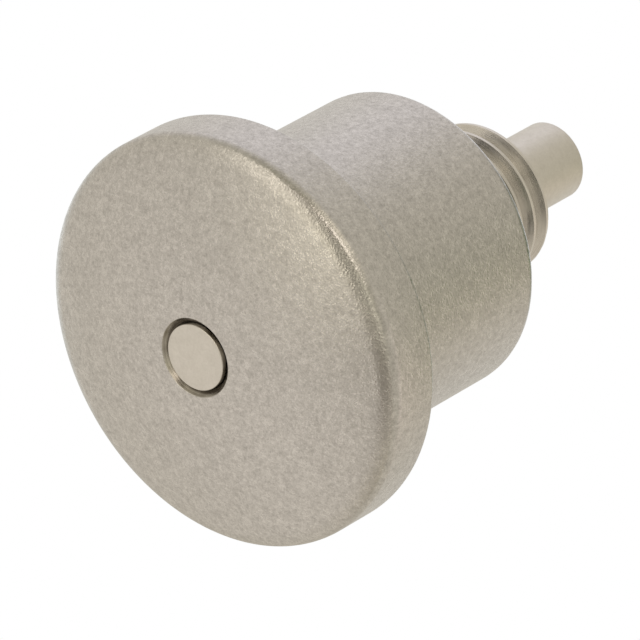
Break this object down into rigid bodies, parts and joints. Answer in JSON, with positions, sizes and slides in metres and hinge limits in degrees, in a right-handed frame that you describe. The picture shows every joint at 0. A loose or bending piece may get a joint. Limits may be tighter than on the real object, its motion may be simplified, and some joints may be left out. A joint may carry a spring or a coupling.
{
  "type": "indexing plunger",
  "caption": "Small stainless indexing plunger: a spring-loaded locking pin in a threaded sleeve, drawn back with a domed pull knob whose skirt covers the sleeve.",
  "frame": {"origin": "on the plunger's axis, in the plane where the guide sleeve's hexagon seats on what it is screwed into", "axes": "+Y along the axis towards the tip of the locking pin, so the knob is towards -Y; two flats of the hexagon face +Z and -Z"},
  "size_m": [0.021, 0.0281, 0.021],
  "materials": {
    "blasted_steel": "matt, shot-blasted",
    "turned_steel": "bright, as turned",
    "pin_steel": "satin, ground",
    "spring_wire": "drawn wire"
  },
  "bodies": {
    "guide": {"guide_sleeve": "turned_steel", "closing_bush": "turned_steel"},
    "coil": {"spring": "spring_wire"},
    "plunger": {"plunger_pin": "pin_steel", "knob": "blasted_steel"}
  },
  "joints": [
    {"name": "turn", "type": "hinge", "parent": "guide", "child": "coil", "pos_m": [0, 0, 0], "axis": [0, 1, 0], "continuous": true},
    {"name": "pull", "type": "slide", "parent": "coil", "child": "plunger", "axis": [0, -1, 0], "range_m": [0, 0.0054], "stiffness_N_per_m": 790, "springref_m": -0.0065, "deforming": ["spring"]}
  ]
}
